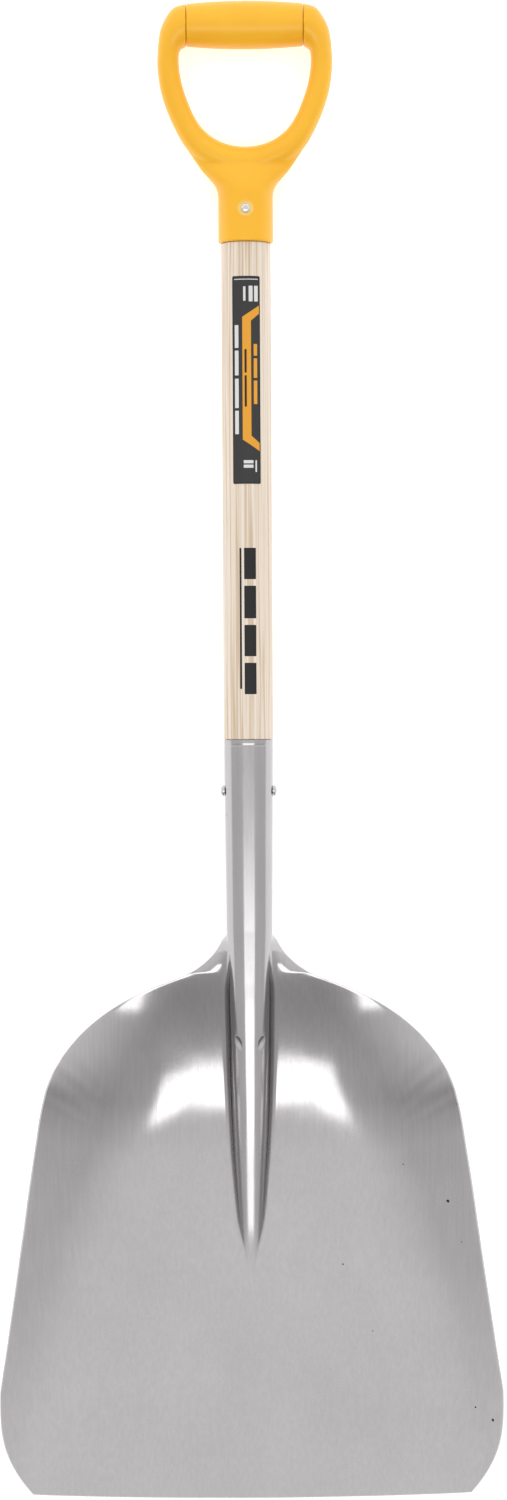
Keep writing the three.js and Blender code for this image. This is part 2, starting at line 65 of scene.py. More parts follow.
# ---------------------------------------------------------------- sizes from the frame
SHAFT_RADIUS = half_size("shaft", 0)
BAR_HALF = half_size("hand_bar", 0)
BAR_RADIUS = half_size("hand_bar", 2)
LABEL_LENGTH = 2 * half_size("label", 1)
GRIP_HEAD_RADIUS = half_size("grip_screw", 0)
SOCKET_HEAD_RADIUS = half_size("socket_screw_right", 2)

# Scoop sheet, as in the CAD: distances along the spine are counted from the lip.
GAP = 0.3 * MM
SHEET = 2.0 * MM
LIFT = 24 * DEG
PAN_STRAIGHT = 238 * MM
BEND_RADIUS = 350 * MM
FLOOR_DROP, HEEL_SLOPE, HEEL_CURVE = 34 * MM, 0.4, 45 * MM
HEEL_START, HEEL_END, HEEL_SOFTNESS = 265 * MM, 400 * MM, 7 * MM
LIP_HALF, PAN_HALF, HEEL_HALF = 163.5 * MM, 188.3 * MM, 161 * MM
SHOULDER_HALF, NECK_HALF = 63 * MM, 18.3 * MM
PAN_WIDEST, HEEL_AT, SHOULDER_AT, NECK_AT = 77 * MM, 270 * MM, 390 * MM, 433 * MM
SIDE_SLOPE, SHOULDER_SLOPE = 8 * DEG, 71 * DEG
SHOULDER_HANDLE, NECK_HANDLE = 67 * MM, 30 * MM
NECK_LEAD, NECK_FLARE = 18 * MM, 2.5 * MM
LIP_CROWN, CROWN_FADE = 3.2 * MM, 60 * MM
CREASE_LIP, CREASE_MIDDLE, CREASE_NECK, CREASE_LENGTH = 168 * MM, 134 * MM, 38 * MM, 400 * MM
WALL_AT_LIP, WALL_AT_HEEL, WALL_LENGTH, WALL_BEND = 19 * DEG, 40 * DEG, 270 * MM, 95 * MM
SIDE_OF_RIDGE = 84 * DEG
RIDGE_TIP_RADIUS, RIDGE_TIP_AT, RIDGE_FULL_AT = 7 * MM, 168 * MM, 430 * MM
RIDGE_FADE, RIDGE_TOE_SLOPE = 6 * MM, 0.07
FOOT_AT_TIP, FOOT_AT_NECK = 3.5 * MM, 9 * MM
WALL_FADE_FROM, WALL_FADE_TO = 300 * MM, 420 * MM
OPEN_FROM, OPEN_TO, CUT_BY_WIDTH_TO = 392 * MM, 460 * MM, 422 * MM
SOCKET_LENGTH, SOCKET_STEP, SOCKET_TAPER, SEAM_GAP = 192 * MM, 0.15 * MM, 1.3 * MM, 4 * MM

BEND_TOP = PAN_STRAIGHT * math.cos(LIFT) + BEND_RADIUS * math.sin(LIFT)
UPRIGHT_AT = PAN_STRAIGHT + BEND_RADIUS * LIFT
RIM_AT = UPRIGHT_AT + SOCKET_LENGTH
RIM_Z = BEND_TOP + SOCKET_LENGTH
RIM_RADIUS = SHAFT_RADIUS - SOCKET_STEP
NECK_RADIUS = RIM_RADIUS - SOCKET_TAPER

# Shaft, grip and fasteners, as in the CAD.
SOCKET_TENON_TIP, TIP_RADIUS, TIP_TAPER = 26 * MM, 9.5 * MM, 95 * MM
GRIP_SHOULDER, GRIP_TENON_LENGTH, FERRULE_WALL = 2.25 * MM, 40 * MM, 4 * MM
GRIP_TENON_RADIUS = SHAFT_RADIUS - GRIP_SHOULDER
BORE_RADIUS, BORE_DEPTH = GRIP_TENON_RADIUS + GAP, GRIP_TENON_LENGTH + GAP
FERRULE_RADIUS = BORE_RADIUS + FERRULE_WALL
DISH_RADIUS, DISH_DEPTH = 6 * MM, 0.7 * MM
SHANK_RADIUS, SCREW_LENGTH, SCREW_POINT = 2.1 * MM, 15 * MM, 5 * MM
HEAD_SKIRT = 0.35                                   # share of a head's height that is straight
GRIP_HEAD_HEIGHT, SOCKET_HEAD_HEIGHT = 1.9 * MM, 2.7 * MM

# Where the shovel lies: heights of the other pieces follow from the frame's boxes.
AXIS_HEIGHT = middle("shaft", 2)
LAID_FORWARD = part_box("scoop")[1].y - RIM_Z
LAY = Matrix.Translation((0, LAID_FORWARD, AXIS_HEIGHT)) @ Matrix.Rotation(-math.pi / 2, 4, "X")
GRIP_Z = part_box("d_grip")[0].y - LAID_FORWARD
BAR_Z = middle("hand_bar", 1) - LAID_FORWARD
GRIP_SCREW_Z = middle("grip_screw", 1) - LAID_FORWARD
SOCKET_SCREW_Z = middle("socket_screw_right", 1) - LAID_FORWARD
LABEL_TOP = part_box("label")[1].y - LAID_FORWARD
HEEL_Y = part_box("scoop")[0].y + PAN_STRAIGHT        # a little past the end of the flat floor


# ---------------------------------------------------------------- small tools
def ramp(value, start, end):
    return min(1.0, max(0.0, (value - start) / (end - start)))


def ease(value, start, end):
    t = ramp(value, start, end)
    return t * t * (3 - 2 * t)


def mix(a, b, t):
    return a + (b - a) * t


def bump(distance):
    """A smooth bump, 1 at distance 0 and 0 from distance 1 on."""
    return np.clip(1 - np.asarray(distance) ** 2, 0, None) ** 2


def bezier(points, count=200):
    t = np.linspace(0, 1, count)[:, None]
    p = [np.array(point, float) for point in points]
    while len(p) > 1:
        p = [a * (1 - t) + b * t for a, b in zip(p, p[1:])]
    return p[0]


def catmull(points, steps):
    """A smooth curve through rows of numbers, with so many steps between two of them."""
    p = np.array(points, float)
    p = np.vstack([2 * p[0] - p[1], p, 2 * p[-1] - p[-2]])
    t = np.linspace(0, 1, steps, endpoint=False)[:, None]
    rows = []
    for a, b, c, d in zip(p, p[1:], p[2:], p[3:]):
        out, back = (c - a) / 2, (d - b) / 2
        rows.append(b + out * t + (3 * (c - b) - 2 * out - back) * t**2
                    + (2 * (b - c) + out + back) * t**3)
    return np.vstack([*rows, p[-2:-1]])


def new_piece(name, vertices, faces, material, crease=35 * DEG):
    mesh = bpy.data.meshes.new(name)
    mesh.from_pydata([tuple(v) for v in vertices], [], faces)
    mesh.validate()
    piece = bpy.data.objects.new(name, mesh)
    bpy.context.scene.collection.objects.link(piece)
    mesh.materials.append(material)
    shade(piece, crease)
    return piece


def shade(piece, crease=35 * DEG):
    piece.data.shade_smooth()
    piece.data.set_sharp_from_angle(angle=crease)


def modified(piece, kind, **settings):
    """The piece with one modifier applied to its mesh."""
    modifier = piece.modifiers.new(kind.title(), kind)
    for key, value in settings.items():
        setattr(modifier, key, value)
    depsgraph = bpy.context.evaluated_depsgraph_get()
    result = bpy.data.meshes.new_from_object(piece.evaluated_get(depsgraph))
    piece.modifiers.clear()
    old = piece.data
    piece.data = result
    bpy.data.meshes.remove(old)
    return piece


def combined(piece, other, operation):
    modified(piece, "BOOLEAN", operation=operation, solver="MANIFOLD", object=other)
    bpy.data.objects.remove(other)
    return piece


def turned(name, profile, material, segments=96, crease=35 * DEG):
    """A closed piece turned about Z from (radius, height) pairs that start and end on the axis."""
    vertices, faces, rows = [], [], []
    for radius, z in profile:
        count = segments if radius > 0 else 1
        first = len(vertices)
        rows.append([first + k % count for k in range(segments)])
        for k in range(count):
            angle = 2 * math.pi * k / segments
            vertices.append((radius * math.cos(angle), radius * math.sin(angle), z))
    for low, high in zip(rows, rows[1:]):
        for k in range(segments):
            following = (k + 1) % segments
            face = [low[k], low[following], high[following], high[k]]
            faces.append(list(dict.fromkeys(face)))
    return new_piece(name, vertices, faces, material, crease)


def lofted(name, rings, material):
    """A closed piece through rings of points, with a flat cap at each end."""
    size = len(rings[0])
    vertices = np.vstack(rings)
    faces = []
    for row in range(len(rings) - 1):
        a, b = row * size, (row + 1) * size
        for k in range(size):
            following = (k + 1) % size
            faces.append((a + k, a + following, b + following, b + k))
    last = (len(rings) - 1) * size
    faces.append(tuple(reversed(range(size))))
    faces.append(tuple(range(last, last + size)))
    return new_piece(name, vertices, faces, material)


def rounded(profile, radius, steps=4):
    """The profile with each corner turned into an arc of about this radius."""
    most = 0.45                                     # share of a side that one corner may take
    points = [Vector(p) for p in profile]
    result = [points[0]]
    for before, corner, after in zip(points, points[1:], points[2:]):
        back, ahead = before - corner, after - corner
        cut = min(radius, back.length * most, ahead.length * most)
        start, end = corner + back.normalized() * cut, corner + ahead.normalized() * cut
        for k in range(steps + 1):
            t = k / steps
            result.append(start.lerp(corner, t).lerp(corner.lerp(end, t), t))
    return [tuple(p) for p in [*result, points[-1]]]


def finished(piece, node):
    """Lays the piece down with the rest and lets it stand for its CAD node."""
    piece.data.transform(LAY)
    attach(piece, "root")
    if node:
        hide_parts(node)
    return piece


# ---------------------------------------------------------------- materials
class Look:
    """A node material: a few short words for the nodes that the finishes below use."""

    def __init__(self, name):
        self.material = bpy.data.materials.new(name)
        self.material.use_nodes = True
        self.nodes = self.material.node_tree.nodes
        self.links = self.material.node_tree.links
        self.shader = self.nodes["Principled BSDF"]
        self.place = self.nodes.new("ShaderNodeTexCoord").outputs["Object"]

    def set(self, **values):
        for key, value in values.items():
            self.shader.inputs[key.replace("_", " ")].default_value = value
        return self

    def join(self, source, target):
        self.links.new(source, target)

    def stretched(self, scale):
        node = self.nodes.new("ShaderNodeMapping")
        node.inputs["Scale"].default_value = scale
        self.join(self.place, node.inputs["Vector"])
        return node.outputs["Vector"]

    def grain(self, scale, detail=3.0, rough=0.5, distortion=0.0):
        """Noise with its own scale along each axis, per metre."""
        node = self.nodes.new("ShaderNodeTexNoise")
        node.inputs["Scale"].default_value = 1.0
        node.inputs["Detail"].default_value = detail
        node.inputs["Roughness"].default_value = rough
        node.inputs["Distortion"].default_value = distortion
        self.join(self.stretched(scale), node.inputs["Vector"])
        return node.outputs["Fac"]

    def along(self):
        """Distance along the shovel, towards the grip."""
        node = self.nodes.new("ShaderNodeSeparateXYZ")
        self.join(self.place, node.inputs["Vector"])
        return node.outputs["Y"]

    def near(self, point, reach):
        """1 at a point of the shovel, easing to 0 at the reach."""
        node = self.nodes.new("ShaderNodeVectorMath")
        node.operation = "DISTANCE"
        node.inputs[1].default_value = point
        self.join(self.place, node.inputs[0])
        return self.range(node.outputs["Value"], reach * 0.75, reach, 1.0, 0.0)

    def range(self, value, low, high, to_low, to_high):
        node = self.nodes.new("ShaderNodeMapRange")
        for key, number in zip(("From Min", "From Max", "To Min", "To Max"),
                               (low, high, to_low, to_high)):
            node.inputs[key].default_value = number
        self.join(value, node.inputs["Value"])
        return node.outputs["Result"]

    def math(self, operation, a, b):
        node = self.nodes.new("ShaderNodeMath")
        node.operation = operation
        for socket, value in zip(node.inputs, (a, b)):
            if isinstance(value, (int, float)):
                socket.default_value = value
            else:
                self.join(value, socket)
        return node.outputs["Value"]

    def colours(self, value, stops):
        node = self.nodes.new("ShaderNodeValToRGB")
        ramp_stops = node.color_ramp.elements
        while len(ramp_stops) < len(stops):
            ramp_stops.new(0.5)
        for element, (position, colour) in zip(ramp_stops, stops):
            element.position = position
            element.color = (*colour, 1)
        self.join(value, node.inputs["Fac"])
        return node.outputs["Color"]

    def blend(self, factor, a, b):
        node = self.nodes.new("ShaderNodeMix")
        node.data_type = "RGBA"
        sockets = [s for s in node.inputs if s.enabled]
        for socket, value in zip(sockets, (factor, a, b)):
            if isinstance(value, (int, float)):
                socket.default_value = value
            elif isinstance(value, tuple):
                socket.default_value = (*value, 1)
            else:
                self.join(value, socket)
        return next(s for s in node.outputs if s.enabled)

    def relief(self, height, distance, strength):
        """Bumps on top of those that are there already."""
        node = self.nodes.new("ShaderNodeBump")
        node.inputs["Distance"].default_value = distance
        node.inputs["Strength"].default_value = strength
        self.join(height, node.inputs["Height"])
        previous = self.shader.inputs["Normal"]
        if previous.is_linked:
            self.join(previous.links[0].from_socket, node.inputs["Normal"])
        self.join(node.outputs["Normal"], previous)


def sheet_metal():
    """Aluminium sheet, brushed along its length, with smudges and a few dark specks."""
    look = Look("scoop_sheet").set(Metallic=1.0)
    brushed = look.grain((2600, 34, 2600), detail=2)
    coarse = look.grain((420, 9, 420), detail=3)
    cloudy = look.grain((14, 9, 14), detail=4, rough=0.6)
    smudge = look.grain((60, 42, 60), detail=5, rough=0.65, distortion=0.6)
    tone = look.colours(cloudy, [(0.3, (0.43, 0.415, 0.42)), (0.7, (0.465, 0.455, 0.46))])
    tone = look.blend(look.range(coarse, 0.35, 0.65, 0.0, 0.3), tone, (0.36, 0.36, 0.37))
    stained = look.range(smudge, 0.68, 0.82, 0.0, 0.3)
    tone = look.blend(stained, tone, (0.30, 0.285, 0.27))
    specks = look.range(look.grain((163, 163, 163), detail=0), 0.885, 0.895, 0.0, 1.0)
    tone = look.blend(specks, tone, (0.03, 0.03, 0.03))
    look.join(tone, look.shader.inputs["Base Color"])
    # the pan is satin; the heel and the socket shine more
    shine = look.range(look.along(), HEEL_Y, HEEL_Y + 45 * MM, 0.0, 0.10)
    rough = look.math("ADD", look.range(cloudy, 0.3, 0.7, 0.25, 0.31),
                      look.range(brushed, 0.3, 0.7, -0.03, 0.04))
    rough = look.math("SUBTRACT", rough, shine)
    look.join(look.math("ADD", rough, look.range(stained, 0, 0.35, 0, 0.12)),
              look.shader.inputs["Roughness"])
    look.relief(brushed, 0.006 * MM, 0.5)
    look.relief(coarse, 0.02 * MM, 0.5)
    return look.material


def ash_wood():
    """Pale straight-grained wood with a thin clear coat."""
    look = Look("shaft_wood").set(Coat_Weight=0.25, Coat_Roughness=0.3)
    years = look.grain((230, 3.2, 230), detail=2, rough=0.5, distortion=0.25)
    streak = look.grain((900, 7, 900), detail=3, rough=0.6)
    pores = look.grain((3800, 60, 3800), detail=2)
    tone = look.colours(years, [(0.34, (0.74, 0.62, 0.49)), (0.46, (0.84, 0.755, 0.66)),
                                (0.55, (0.60, 0.45, 0.30)), (0.63, (0.80, 0.70, 0.58))])
    tone = look.blend(look.range(streak, 0.52, 0.72, 0.0, 0.55), tone, (0.56, 0.41, 0.26))
    tone = look.blend(look.range(pores, 0.62, 0.75, 0.0, 0.35), tone, (0.58, 0.42, 0.27))
    look.join(tone, look.shader.inputs["Base Color"])
    look.join(look.range(streak, 0.3, 0.7, 0.42, 0.58), look.shader.inputs["Roughness"])
    look.relief(streak, 0.02 * MM, 0.5)
    look.relief(pores, 0.03 * MM, 0.35)
    return look.material


def amber_plastic():
    """Satin plastic with a fine grain and a few paler patches."""
    look = Look("grip_plastic").set(Subsurface_Weight=0.06, Subsurface_Scale=2 * MM)
    look.set(Specular_IOR_Level=0.5)
    look.shader.inputs["Subsurface Radius"].default_value = (1.0, 0.45, 0.1)
    fine = look.grain((1500, 1500, 1500), detail=2)
    cloudy = look.grain((22, 22, 22), detail=4)
    scuff = look.grain((160, 50, 160), detail=5, rough=0.7)
    tone = look.colours(cloudy, [(0.3, (0.95, 0.465, 0.012)), (0.7, (0.97, 0.515, 0.018))])
    tone = look.blend(look.range(scuff, 0.66, 0.8, 0, 0.3), tone, (0.95, 0.57, 0.12))
    # a paler patch under and round the head of the screw
    screw_place = (0, GRIP_SCREW_Z + LAID_FORWARD, AXIS_HEIGHT + FERRULE_RADIUS)
    paler = look.near(screw_place, DISH_RADIUS * 1.1)
    look.join(look.blend(look.math("MULTIPLY", paler, 0.75), tone, (0.96, 0.72, 0.28)),
              look.shader.inputs["Base Color"])
    look.join(look.math("ADD", look.range(cloudy, 0.3, 0.7, 0.28, 0.36),
                        look.range(scuff, 0.6, 0.8, 0, 0.12)), look.shader.inputs["Roughness"])
    look.relief(fine, 0.012 * MM, 0.4)
    return look.material


def film(name, colour, worn):
    """Coated film in one colour, flecked with a second, worn one."""
    look = Look(name).set(Coat_Weight=0.1, Coat_Roughness=0.3, Specular_IOR_Level=0.25)
    fleck = look.grain((900, 500, 900), detail=4, rough=0.7)
    sheen = look.grain((40, 25, 40), detail=3)
    look.join(look.blend(look.range(fleck, 0.6, 0.78, 0, 0.35), colour, worn),
              look.shader.inputs["Base Color"])
    look.join(look.range(sheen, 0.3, 0.7, 0.38, 0.5), look.shader.inputs["Roughness"])
    look.relief(fleck, 0.01 * MM, 0.4)
    return look.material


def plated(name, bright):
    """Plated steel with darker spots."""
    look = Look(name).set(Metallic=1.0)
    spots = look.grain((900, 900, 900), detail=4, rough=0.6)
    dark = tuple(c * 0.7 for c in bright)
    look.join(look.colours(spots, [(0.35, dark), (0.6, bright)]), look.shader.inputs["Base Color"])
    look.join(look.range(spots, 0.3, 0.7, 0.2, 0.38), look.shader.inputs["Roughness"])
    look.relief(spots, 0.02 * MM, 0.4)
    return look.material


SHEET_METAL = sheet_metal()
ASH = ash_wood()
AMBER = amber_plastic()
FILM = film("label_film", (0.036, 0.036, 0.038), (0.10, 0.10, 0.10))
FILM_EDGE = film("label_edge", (0.012, 0.012, 0.012), (0.06, 0.06, 0.06))
PRINT_AMBER = film("label_amber", (0.80, 0.36, 0.03), (0.86, 0.50, 0.18))
PRINT_LIGHT = film("label_light", (0.72, 0.72, 0.70), (0.45, 0.45, 0.45))
PRINT_DARK = film("print_dark", (0.012, 0.012, 0.013), (0.05, 0.045, 0.04))
BRIGHT_ZINC = plated("screw_bright", (0.83, 0.83, 0.82))
DULL_ZINC = plated("screw_dull", (0.60, 0.61, 0.63))


# ---------------------------------------------------------------- scoop
def outline():
    """Half width of the sheet against distance along the spine."""
    def along(slope, length):
        return np.array([math.cos(slope), -math.sin(slope)]) * length

    heel = np.array([HEEL_AT, HEEL_HALF])
    shoulder = np.array([SHOULDER_AT, SHOULDER_HALF])
    lip = [(0, LIP_HALF), (PAN_WIDEST / 3, PAN_HALF), (PAN_WIDEST * 2 / 3, PAN_HALF),
           (PAN_WIDEST, PAN_HALF)]
    turn = [heel, heel + along(SIDE_SLOPE, SHOULDER_HANDLE),
            shoulder - along(SHOULDER_SLOPE, SHOULDER_HANDLE), shoulder]
    neck = [shoulder, shoulder + along(SHOULDER_SLOPE, NECK_HANDLE),
            (NECK_AT - NECK_LEAD, NECK_HALF + NECK_FLARE), (NECK_AT, NECK_HALF)]
    return np.concatenate([bezier(part) for part in (lip, [lip[-1], heel], turn, neck)])


OUTLINE = outline()
CREASE = bezier([(0, CREASE_LIP), (CREASE_LENGTH / 2, CREASE_MIDDLE),
                 (CREASE_LENGTH, CREASE_NECK)])


def spine(s):
    """The spine's y, z and lean at a distance from the lip."""
    if s >= UPRIGHT_AT:
        return 0.0, BEND_TOP + s - UPRIGHT_AT, 0.0
    lean = min(LIFT, (UPRIGHT_AT - s) / BEND_RADIUS)
    run = max(0.0, PAN_STRAIGHT - s)
    y = -BEND_RADIUS * (1 - math.cos(lean)) - run * math.sin(lean)
    z = BEND_TOP - BEND_RADIUS * math.sin(lean) - run * math.cos(lean)
    return y, z, lean


def tube_radius(s):
    """Radius of the ridge's crest and, further up, of the socket."""
    if s > RIDGE_FULL_AT:
        return mix(NECK_RADIUS, RIM_RADIUS, ramp(s, RIDGE_FULL_AT, RIM_AT))
    return mix(RIDGE_TIP_RADIUS, NECK_RADIUS, ramp(s, RIDGE_TIP_AT, RIDGE_FULL_AT))


def floor_height(s):
    """How far the floor lies in front of the spine; negative is behind it."""
    past = math.log1p(math.exp((HEEL_END - s) / HEEL_SOFTNESS)) * HEEL_SOFTNESS
    run = max(0.0, HEEL_END - past - HEEL_START)
    return HEEL_SLOPE * (run + HEEL_CURVE * math.expm1(-run / HEEL_CURVE)) - FLOOR_DROP


def ridge_height(s):
    """How far the ridge's crest stands above the floor, easing out at its tip."""
    y, _, lean = spine(s)
    front = tube_radius(s) if s > RIDGE_FULL_AT else NECK_RADIUS
    toe = min(RIDGE_FADE, RIDGE_TOE_SLOPE * max(0.0, s - RIDGE_TIP_AT))
    above = (front + y) / math.cos(lean) - floor_height(s) - toe
    if above >= RIDGE_FADE:
        return toe + above
    return toe + max(0.0, above + RIDGE_FADE) ** 2 / (4 * RIDGE_FADE)


def stretches(s):
    """Half of a cross-section from the crest outwards, as (length, turn) stretches."""
    opened = ease(s, OPEN_FROM, OPEN_TO)
    shut = math.pi - SEAM_GAP / 2 / NECK_RADIUS
    wall = mix(WALL_AT_LIP, WALL_AT_HEEL, ease(s, 0, WALL_LENGTH))
    end = mix(-wall * (1 - ease(s, WALL_FADE_FROM, WALL_FADE_TO)), shut, opened)
    radius = tube_radius(s)
    foot = mix(FOOT_AT_TIP, FOOT_AT_NECK, ramp(s, RIDGE_TIP_AT, SHOULDER_AT))
    height = ridge_height(s)
    full = math.acos(max(-1.0, 1 - height / (radius + foot)))
    flank = min(full, SIDE_OF_RIDGE)
    side = max(flank, end)
    drop = (radius + foot) * (1 - math.cos(flank))
    straight = max(0.0, height - drop) / math.sin(SIDE_OF_RIDGE) * (1 - opened)
    parts = [(radius * side, side), (straight, 0.0),
             (foot * (side - max(0.0, end)), max(0.0, end) - side)]
    if end < 0:
        reach = (radius + foot) * math.sin(side) + straight * math.cos(side)
        crease = np.interp(s, CREASE[:, 0], CREASE[:, 1])
        bend = min(WALL_BEND, max(0.0, crease - reach) / math.tan(-end / 2))
        parts.append((max(0.0, crease - reach - bend * math.tan(-end / 2)), 0.0))
        parts.append((bend * -end, end))
    parts.append((PAN_HALF * 2, 0.0))
    return parts


def follow(parts, lengths):
    """Places x and n on a section at the given lengths from its crest."""
    left = np.array(lengths, float)
    x, n, heading = np.zeros_like(left), np.zeros_like(left), np.zeros_like(left)
    for length, turn in parts:
        if length <= 0:
            continue
        share = np.clip(left / length, 0, 1)
        bend = turn * share
        step = length * share * np.sinc(bend / 2 / math.pi)
        x += step * np.cos(heading + bend / 2)
        n -= step * np.sin(heading + bend / 2)
        heading += bend
        left -= length * share
    return x, n


def cut_by_width(s, parts):
    """Length along the section at which the sheet reaches its outline."""
    samples = 1500
    lengths = np.linspace(0, PAN_HALF * 2, samples)
    x, _ = follow(parts, lengths)
    half = np.interp(s, OUTLINE[:, 0], OUTLINE[:, 1])
    past = int(np.argmax(x > half))
    share = (half - x[past - 1]) / (x[past] - x[past - 1])
    return mix(lengths[past - 1], lengths[past], share)


def half_girth(s, parts):
    """Length of half a section, from the crest to the sheet's edge."""
    if s <= CUT_BY_WIDTH_TO:
        return cut_by_width(s, parts)
    start = cut_by_width(CUT_BY_WIDTH_TO, stretches(CUT_BY_WIDTH_TO))
    return mix(start, math.pi * tube_radius(s) - SEAM_GAP / 2, ease(s, CUT_BY_WIDTH_TO, OPEN_TO))


def half_section(s, columns):
    """x and n of points across half a section, spread by length and by turn."""
    step_length, step_turn = 6 * MM, 3 * DEG
    parts = stretches(s)
    left = half_girth(s, parts)
    marks, weights = [0.0], [0.0]
    for length, turn in parts:
        kept = min(left, length)
        if kept > 0:
            marks.append(marks[-1] + kept)
            weights.append(weights[-1] + kept / step_length
                           + abs(turn) * kept / length / step_turn)
            left -= kept
    spread = np.linspace(0, weights[-1], columns + 1)
    return follow(parts, np.interp(spread, weights, marks))


def row_distances():
    """Distances of the sheet's rows of points, closest at the heel, the neck and the rim."""
    rim, rim_edge = RIM_AT / MM, RIM_AT / MM - 6
    # from, to and number of rows, in millimetres from the lip
    zones = [(0, 20, 8), (20, 77, 14), (77, 170, 20), (170, 320, 80), (320, 400, 72),
             (400, 460, 46), (460, rim_edge, 26), (rim_edge, rim, 12)]
    rows = [np.linspace(start, end, count, endpoint=False) for start, end, count in zones]
    return np.concatenate([*rows, [rim]]) * MM


def small_marks(x, s):
    """How far small marks move the sheet along its normal."""
    # two small crimps beside the crest of the ridge, leaning outwards
    lean, aside, crimp_at = 22 * DEG, 8.7 * MM, 343 * MM
    half_width, half_length, crimp_depth = 2.6 * MM, 6.5 * MM, 1.3 * MM
    across, along = np.abs(x) - aside, s - crimp_at
    narrow = across * math.cos(lean) - along * math.sin(lean)
    lengthwise = across * math.sin(lean) + along * math.cos(lean)
    moved = -crimp_depth * bump(np.hypot(narrow / half_width, lengthwise / half_length))
    # small puckers at both shoulders, fanning out from a point on the pan
    pucker_x, pucker_s, reach_x, reach_s = 136 * MM, 322 * MM, 42 * MM, 52 * MM
    fan_x, fan_s = 60 * MM, 250 * MM
    puckered = bump(np.hypot((np.abs(x) - pucker_x) / reach_x, (s - pucker_s) / reach_s))
    fan = np.arctan2(s - fan_s, np.abs(x) - fan_x)
    ripple = 0.30 * np.sin(fan * 46) + 0.16 * np.sin(fan * 71 + 1.3)
    moved = moved + MM * puckered * ripple
    # a shallow groove just under the rim of the socket
    groove_drop, groove_half, groove_depth = 4 * MM, 0.9 * MM, 0.22 * MM
    groove = bump((s - (RIM_AT - groove_drop)) / groove_half)
    moved = moved - groove_depth * groove * (s > UPRIGHT_AT)
    return moved


def scoop():
    columns, rows = 96, row_distances()
    front, crest_x = [], []
    for s in rows:
        x, n = half_section(s, columns)
        x = np.concatenate([-x[:0:-1], x])
        n = np.concatenate([n[:0:-1], n])
        base = floor_height(s) + ridge_height(s)
        line = []
        for px, pn in zip(x, n):
            crown = LIP_CROWN * (px / LIP_HALF) ** 2 * (1 - ease(s, 0, CROWN_FADE))
            y, z, lean = spine(s + crown)
            line.append((px, y - (base + pn) * math.cos(lean), z + (base + pn) * math.sin(lean)))
        front.append(line)
        crest_x.append(x)
    front, crest_x = np.array(front), np.array(crest_x)
    normal = sheet_normals(front)
    moved = small_marks(crest_x, rows[:, None])
    # slow waves of a few tenths of a millimetre, which end at the neck
    broad, fine, depth = 17, 41, 0.35 * MM
    waves = [[noise.noise(Vector(p) * broad) + 0.5 * noise.noise(Vector(p) * fine) for p in line]
             for line in front]
    on_pan = np.array([1 - ease(s, 380 * MM, 430 * MM) for s in rows])[:, None]
    moved = moved + np.array(waves) * depth * on_pan
    front = within_cad(front + normal * moved[..., None])
    normal = sheet_normals(front)
    back = within_cad(front - normal * SHEET)
    size = front.shape[1]
    rings = [np.vstack([f, b[::-1]]) for f, b in zip(front, back)]
    faces = []
    ring = 2 * size
    for row in range(len(rings) - 1):
        a, b = row * ring, (row + 1) * ring
        for k in range(ring):
            following = (k + 1) % ring
            faces.append((a + k, a + following, b + following, b + k))
    last = (len(rings) - 1) * ring
    for k in range(size - 1):
        mirror = ring - 1 - k
        faces.append((mirror, mirror - 1, k + 1, k))
        faces.append((last + k, last + k + 1, last + mirror - 1, last + mirror))
    piece = new_piece("scoop_sheet_fine", np.vstack(rings), faces, SHEET_METAL)
    modified(piece, "BEVEL", width=0.45 * MM, segments=3, limit_method="ANGLE",
             angle_limit=50 * DEG)
    shade(piece, 60 * DEG)
    return finished(piece, "scoop")


def within_cad(grid):
    """Keeps the sheet inside the CAD's own box."""
    low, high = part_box("scoop")
    return np.clip(grid, (low.x, AXIS_HEIGHT - high.z, low.y - LAID_FORWARD),
                   (high.x, AXIS_HEIGHT - low.z, high.y - LAID_FORWARD))


def sheet_normals(grid):
    """Unit normals of the sheet, pointing out of the hollow."""
    across = np.gradient(grid, axis=1)
    upward = np.gradient(grid, axis=0)
    normal = np.cross(across, upward)
    return normal / np.linalg.norm(normal, axis=2, keepdims=True)


# ---------------------------------------------------------------- shaft
def shaft():
    def bore(s):
        return tube_radius(s) - SHEET - GAP

    tip, top, edge = BEND_TOP - SOCKET_TENON_TIP, GRIP_Z + GRIP_TENON_LENGTH, 1.2 * MM
    profile = rounded([
        (0, tip), (TIP_RADIUS, tip), (bore(RIDGE_FULL_AT), tip + TIP_TAPER),
        (bore(RIM_AT), RIM_Z + GAP), (SHAFT_RADIUS, RIM_Z + GAP), (SHAFT_RADIUS, GRIP_Z - GAP),
        (GRIP_TENON_RADIUS, GRIP_Z - GAP), (GRIP_TENON_RADIUS, top), (0, top),
    ], edge)
    piece = turned("ash_shaft", profile, ASH, segments=128, crease=50 * DEG)
    return finished(piece, "shaft")


# ---------------------------------------------------------------- D-grip
OPENING_HALF = 50.8 * MM
OPENING_BASE, OPENING_HEIGHT = 74.5 * MM, 77.4 * MM
BAR_END_RADIUS = 16.3 * MM
FERRULE_LENGTH = 37 * MM
ARM_REACH = 67.2 * MM
BAR_LIMIT = 45 * MM
CORE_RADIUS, CORE_END = 8 * MM, 2 * MM              # rod inside the bar, and its run into each arm


